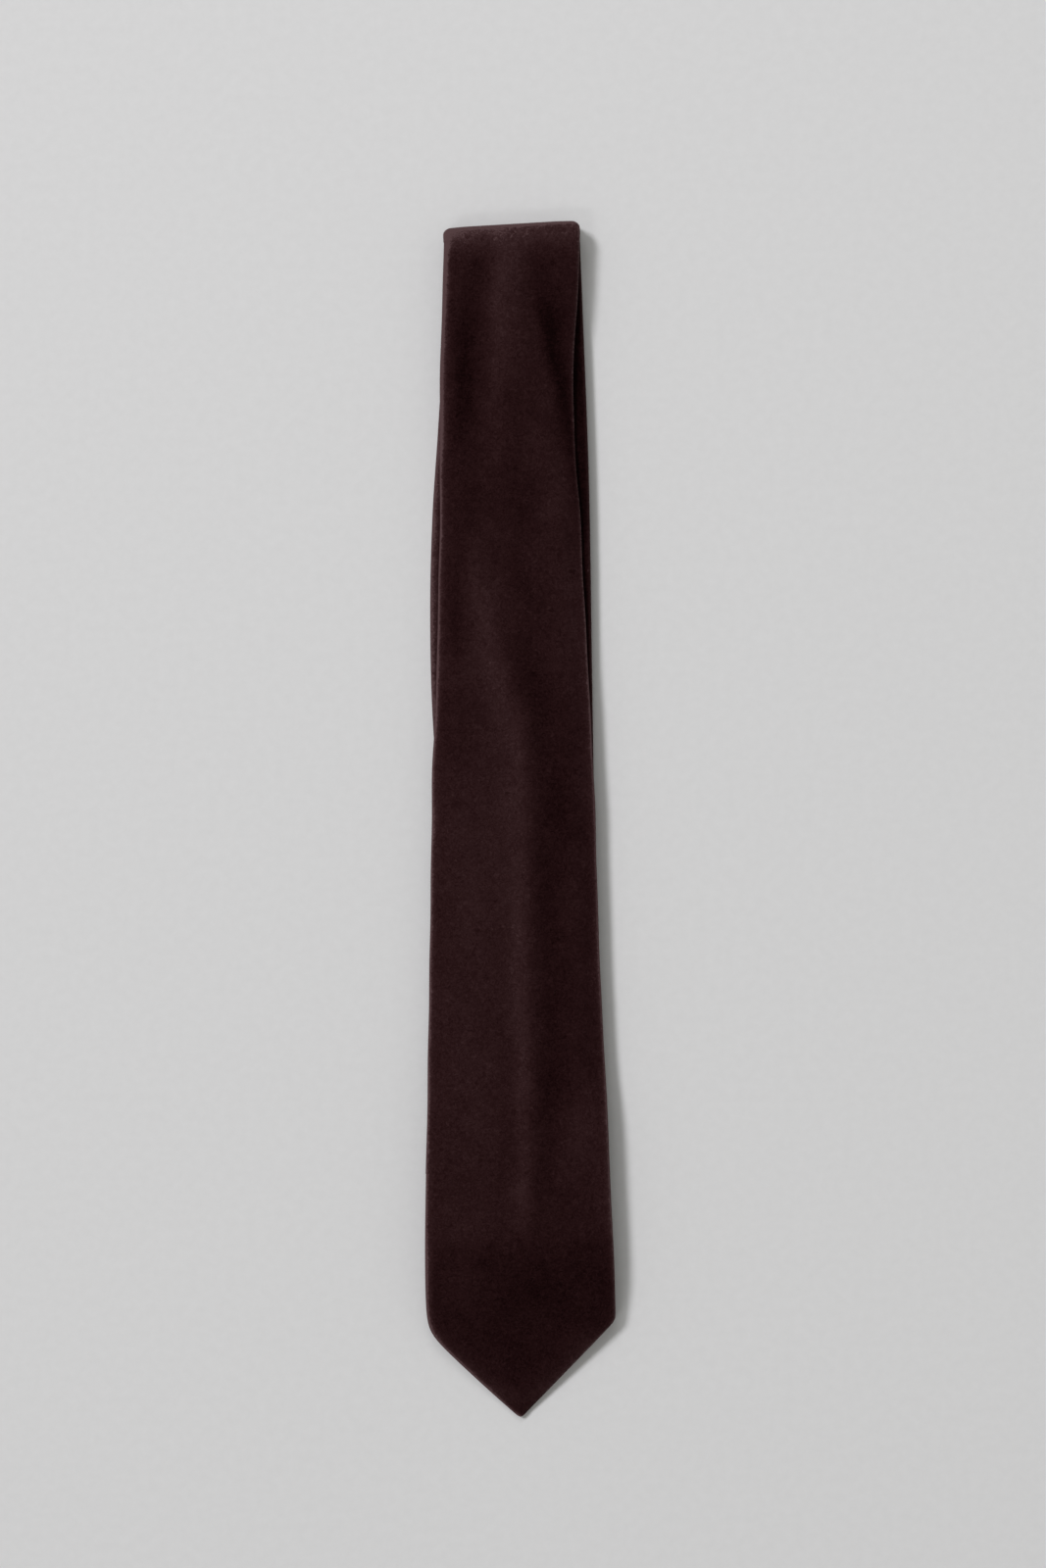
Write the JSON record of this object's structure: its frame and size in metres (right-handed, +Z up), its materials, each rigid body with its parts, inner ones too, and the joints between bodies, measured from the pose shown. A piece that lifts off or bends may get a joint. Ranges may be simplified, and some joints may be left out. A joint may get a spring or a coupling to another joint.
{
  "type": "necktie",
  "caption": "Lined velvet necktie lying folded in three, broad pointed front blade on top, with folds that open until it lies straight.",
  "frame": {"origin": "centre of the bounding box's base, on the surface the folded tie lies on", "axes": "+Y along the folded tie from the front blade's point to the upper fold, +Z up through the layers, +X to the right seen from above with the face towards the viewer"},
  "size_m": [0.081, 0.5079, 0.014],
  "materials": {
    "neck_end_shell": "matte cut-pile velvet",
    "neck_tail_seam": "matte thread",
    "tail_blade_shell": "matte cut-pile velvet",
    "tail_interlining": "matte brushed wool",
    "tail_tipping": "soft-sheen satin",
    "tail_slip_stitch": "matte thread",
    "tail_bar_tack": "matte thread",
    "tail_hem_stitch": "matte thread",
    "front_upper_shell": "matte cut-pile velvet",
    "front_neck_seam": "matte thread",
    "neck_shell": "matte cut-pile velvet",
    "middle_interlining": "matte brushed wool",
    "middle_slip_stitch": "matte thread",
    "front_blade_shell": "matte cut-pile velvet",
    "front_interlining": "matte brushed wool",
    "front_slip_stitch": "matte thread",
    "front_bar_tack": "matte thread",
    "keeper_loop": "matte cut-pile velvet",
    "keeper_stitch_left": "matte thread",
    "keeper_stitch_right": "matte thread",
    "front_point_shell": "matte cut-pile velvet",
    "front_point_interlining": "matte brushed wool",
    "front_tipping": "soft-sheen satin",
    "front_hem_stitch": "matte thread"
  },
  "bodies": {
    "tail_panel": {"neck_end_shell": "neck_end_shell", "neck_tail_seam": "neck_tail_seam", "tail_blade_shell": "tail_blade_shell", "tail_interlining": "tail_interlining", "tail_tipping": "tail_tipping", "tail_slip_stitch": "tail_slip_stitch", "tail_bar_tack": "tail_bar_tack", "tail_hem_stitch": "tail_hem_stitch"},
    "middle_panel": {"front_upper_shell": "front_upper_shell", "front_neck_seam": "front_neck_seam", "neck_shell": "neck_shell", "middle_interlining": "middle_interlining", "middle_slip_stitch": "middle_slip_stitch"},
    "front_panel": {"front_blade_shell": "front_blade_shell", "front_interlining": "front_interlining", "front_slip_stitch": "front_slip_stitch", "front_bar_tack": "front_bar_tack", "keeper_loop": "keeper_loop", "keeper_stitch_left": "keeper_stitch_left", "keeper_stitch_right": "keeper_stitch_right"},
    "front_point": {"front_point_shell": "front_point_shell", "front_point_interlining": "front_point_interlining", "front_tipping": "front_tipping", "front_hem_stitch": "front_hem_stitch"}
  },
  "joints": [
    {"name": "lower_fold_open", "type": "hinge", "parent": "tail_panel", "child": "middle_panel", "pos_m": [0.01499, -0.18218, 0.005], "axis": [0.9956, 0.0941, 0], "range_deg": [0, 179]},
    {"name": "upper_fold_open", "type": "hinge", "parent": "middle_panel", "child": "front_panel", "pos_m": [-0.00399, 0.25189, 0.0063], "axis": [-0.9982, -0.0593, 0], "range_deg": [0, 179]},
    {"name": "front_point_straighten", "type": "hinge", "parent": "front_panel", "child": "front_point", "pos_m": [-0.0003, -0.1832, 0.014], "axis": [-1, 0, 0], "range_deg": [0, 7.8]}
  ],
  "couplings": [
    {"joint": "front_point_straighten", "follows": "lower_fold_open", "ratio": 0.043575}
  ]
}
